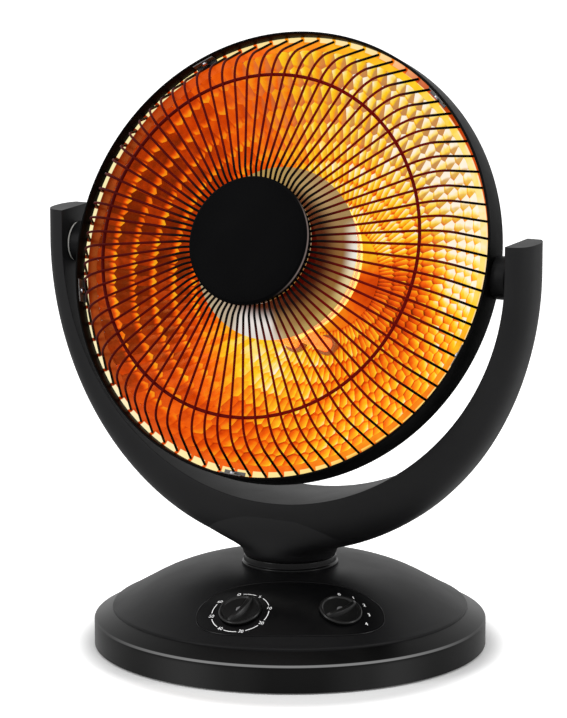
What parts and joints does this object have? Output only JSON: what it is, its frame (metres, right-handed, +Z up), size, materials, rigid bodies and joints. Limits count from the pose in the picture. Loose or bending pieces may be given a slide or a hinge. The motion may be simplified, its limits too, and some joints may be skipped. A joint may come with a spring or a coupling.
{
  "type": "carbon fibre heater",
  "caption": "Round dish heater with a glowing carbon ring tube behind a domed wire guard, tilting in a U-shaped yoke that swings on a round base with a timer and a power selector.",
  "frame": {"origin": "on the floor, under the swivel axis of the yoke, at the middle of the round base", "axes": "+Z up, -Y out of the front of the base (the side with the controls), +X to the right of someone facing that front"},
  "size_m": [0.3789, 0.308, 0.4763],
  "materials": {
    "black_satin_plastic": "satin",
    "black_gloss_plastic": "gloss",
    "panel_plastic": "gloss",
    "knob_plastic": "satin",
    "white_nylon": "matte",
    "switch_plastic": "matte",
    "rim_paint": "satin black paint",
    "guard_paint": "satin black paint",
    "reflector_metal": "polished",
    "housing_paint": "matte black paint",
    "plain_steel": "bare",
    "screw_steel": "bare",
    "quartz": "clear",
    "carbon_glow": "glowing carbon fibre",
    "end_cap_ceramic": "unglazed",
    "foot_rubber": "matte",
    "ballast_iron": "rough"
  },
  "bodies": {
    "base": {"base_plinth": "black_gloss_plastic", "base_dome": "black_satin_plastic", "bottom_plate": "housing_paint", "ballast_ring": "ballast_iron", "rubber_feet": "foot_rubber", "plate_screws": "screw_steel", "control_panel": "panel_plastic", "timer_unit": "switch_plastic", "selector_switch": "switch_plastic", "swing_motor": "plain_steel", "motor_screws": "screw_steel", "swivel_bush": "white_nylon", "neck_collar": "black_gloss_plastic", "tip_switch": "switch_plastic", "cord_grommet": "foot_rubber", "terminal_block": "white_nylon"},
    "yoke": {"yoke_front_shell": "black_satin_plastic", "yoke_back_cover": "black_satin_plastic", "yoke_screws": "screw_steel", "swivel_tube": "plain_steel", "thrust_washer": "white_nylon", "swivel_nut": "plain_steel", "drive_sector": "white_nylon"},
    "head": {"rim_hoop": "rim_paint", "reflector_dish": "reflector_metal", "quartz_tube": "quartz", "carbon_filament": "carbon_glow", "tube_end_caps": "end_cap_ceramic", "deflector": "reflector_metal", "deflector_post": "plain_steel", "post_nuts": "plain_steel", "element_plate": "plain_steel", "rear_housing": "housing_paint", "housing_screws": "screw_steel", "guard_wires": "guard_paint", "guard_mid_ring": "guard_paint", "guard_outer_ring": "guard_paint", "guard_inner_ring": "guard_paint", "centre_cap": "black_satin_plastic", "cap_plate": "plain_steel", "cap_screw": "screw_steel", "guard_clips": "plain_steel", "clip_screws": "screw_steel", "right_pivot_boss": "black_satin_plastic", "left_pivot_boss": "black_satin_plastic", "pivot_washers": "white_nylon", "pivot_nuts": "plain_steel"},
    "timer_knob": {"timer_knob": "knob_plastic", "timer_shaft": "plain_steel"},
    "selector_knob": {"selector_knob": "knob_plastic", "selector_shaft": "plain_steel"},
    "motor_pinion": {"motor_pinion": "white_nylon"},
    "tip_plunger": {"tip_plunger": "switch_plastic"}
  },
  "joints": [
    {"name": "swing", "type": "hinge", "parent": "base", "child": "yoke", "pos_m": [0, 0, 0], "axis": [0, 0, 1], "range_deg": [-8.5, 61.5]},
    {"name": "tilt", "type": "hinge", "parent": "yoke", "child": "head", "pos_m": [0, 0, 0.30401], "axis": [0.8949, -0.4462, 0], "range_deg": [-15, 30]},
    {"name": "timer_turn", "type": "hinge", "parent": "base", "child": "timer_knob", "pos_m": [-0.03787, -0.09764, 0.04959], "axis": [-0.1619, -0.4175, 0.8942], "range_deg": [-275, 40]},
    {"name": "selector_turn", "type": "hinge", "parent": "base", "child": "selector_knob", "pos_m": [0.03787, -0.09764, 0.04959], "axis": [0.1619, -0.4175, 0.8942], "range_deg": [-64, 70]},
    {"name": "pinion_turn", "type": "hinge", "parent": "base", "child": "motor_pinion", "pos_m": [0, 0.055, 0.025], "axis": [0, 0, 1], "range_deg": [-277, 39]},
    {"name": "plunger_slide", "type": "slide", "parent": "base", "child": "tip_plunger", "axis": [0, 0, 1], "range_m": [-0.005, 0], "stiffness_N_per_m": 200, "springref_m": -0.008}
  ],
  "couplings": [
    {"joint": "pinion_turn", "follows": "swing", "ratio": -4.5}
  ]
}
